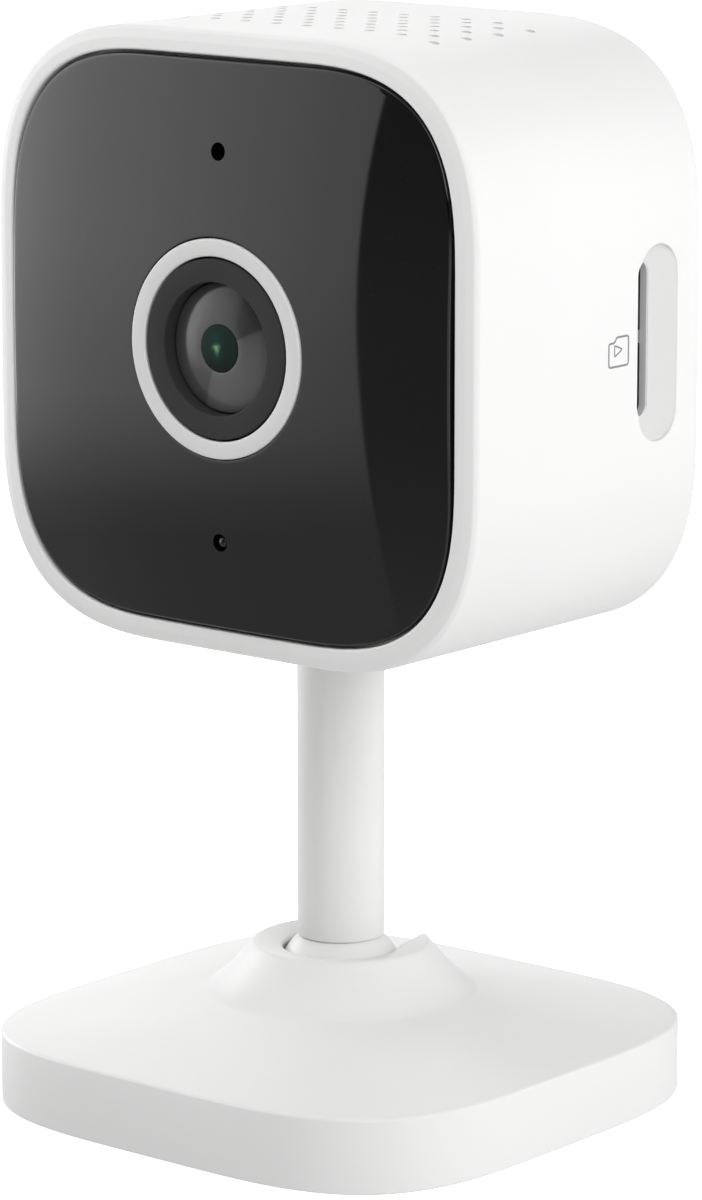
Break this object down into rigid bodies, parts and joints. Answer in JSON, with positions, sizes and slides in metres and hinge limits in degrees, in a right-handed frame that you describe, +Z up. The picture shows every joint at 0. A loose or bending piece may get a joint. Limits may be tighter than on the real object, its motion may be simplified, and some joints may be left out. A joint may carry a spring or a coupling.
{
  "type": "indoor security camera",
  "caption": "Rounded cube camera head with a domed black front and a central lens, on a slim pole and a ball joint in a low rounded square foot.",
  "frame": {"origin": "middle of the foot's underside, on the axis of the upright pole", "axes": "+Z up along the pole, front and lens face -Y, +X to the viewer's right seen from the front"},
  "size_m": [0.06, 0.0576, 0.108],
  "materials": {
    "white_shell": "fine matt moulded white",
    "grey_plastic": "matt moulded grey",
    "black_panel": "polished black, clear to infrared",
    "black_plastic": "matt black",
    "black_rubber": "soft matt black",
    "foam": "closed-cell foam",
    "lens_glass": "coated optical glass",
    "clear_plastic": "clear moulded",
    "circuit_board": "green solder mask",
    "chip": "moulded black package",
    "steel": "plated steel",
    "aluminium": "extruded, plain",
    "copper": "wound copper wire and foil"
  },
  "bodies": {
    "base": {"base_cover": "white_shell", "foot_pad": "black_rubber", "bottom_plate": "grey_plastic", "base_weight": "steel", "clamp_plate": "steel", "base_screw_1": "steel", "base_screw_2": "steel", "base_screw_3": "steel", "seat_spring": "steel", "ball_seat": "black_plastic"},
    "cup": {"friction_cup": "grey_plastic"},
    "ball": {"ball": "white_shell", "ball_screw": "steel", "pole": "white_shell"},
    "filter": {"filter_carrier": "black_plastic", "ir_cut_filter": "lens_glass", "clear_filter": "lens_glass"},
    "button": {"reset_button": "grey_plastic"},
    "head": {"pole_screw": "steel", "board_screw_1": "steel", "board_screw_2": "steel", "card_socket": "steel", "cover_screw_1": "steel", "cover_screw_2": "steel", "cover_screw_3": "steel", "cover_screw_4": "steel", "filter_actuator": "copper", "front_board": "circuit_board", "front_bracket": "black_plastic", "front_lens": "lens_glass", "front_panel": "black_panel", "heat_sink": "aluminium", "housing_shell": "white_shell", "image_sensor": "chip", "infrared_led_1": "clear_plastic", "infrared_led_2": "clear_plastic", "infrared_led_3": "clear_plastic", "infrared_led_4": "clear_plastic", "lens_barrel": "black_plastic", "lens_bezel": "black_plastic", "lens_holder": "black_plastic", "lens_ring": "white_shell", "lens_spacer": "black_plastic", "light_pipe": "clear_plastic", "main_board": "circuit_board", "microphone": "steel", "microphone_boot": "black_rubber", "middle_lens": "lens_glass", "power_socket": "steel", "processor": "chip", "rear_cover": "white_shell", "rear_lens": "lens_glass", "reset_switch": "black_plastic", "sensor_board": "circuit_board", "speaker_cone": "black_plastic", "speaker_frame": "black_plastic", "speaker_gasket": "foam", "speaker_magnet": "steel", "status_led": "clear_plastic", "wifi_antenna": "copper"}
  },
  "joints": [
    {"name": "ball_lean", "type": "hinge", "parent": "base", "child": "cup", "pos_m": [0, 0, 0.012], "axis": [0, 1, 0], "range_deg": [-10, 10]},
    {"name": "ball_fold", "type": "hinge", "parent": "cup", "child": "ball", "pos_m": [0, 0, 0.012], "axis": [-1, 0, 0], "range_deg": [-12, 75]},
    {"name": "pole_swivel", "type": "hinge", "parent": "ball", "child": "head", "pos_m": [0, 0, 0.012], "axis": [0, 0, 1], "continuous": true},
    {"name": "filter_slide", "type": "slide", "parent": "head", "child": "filter", "axis": [-1, 0, 0], "range_m": [0, 0.0052]},
    {"name": "reset_press", "type": "slide", "parent": "head", "child": "button", "axis": [0, -1, 0], "range_m": [0, 0.0006], "stiffness_N_per_m": 600, "springref_m": -0.0002}
  ]
}
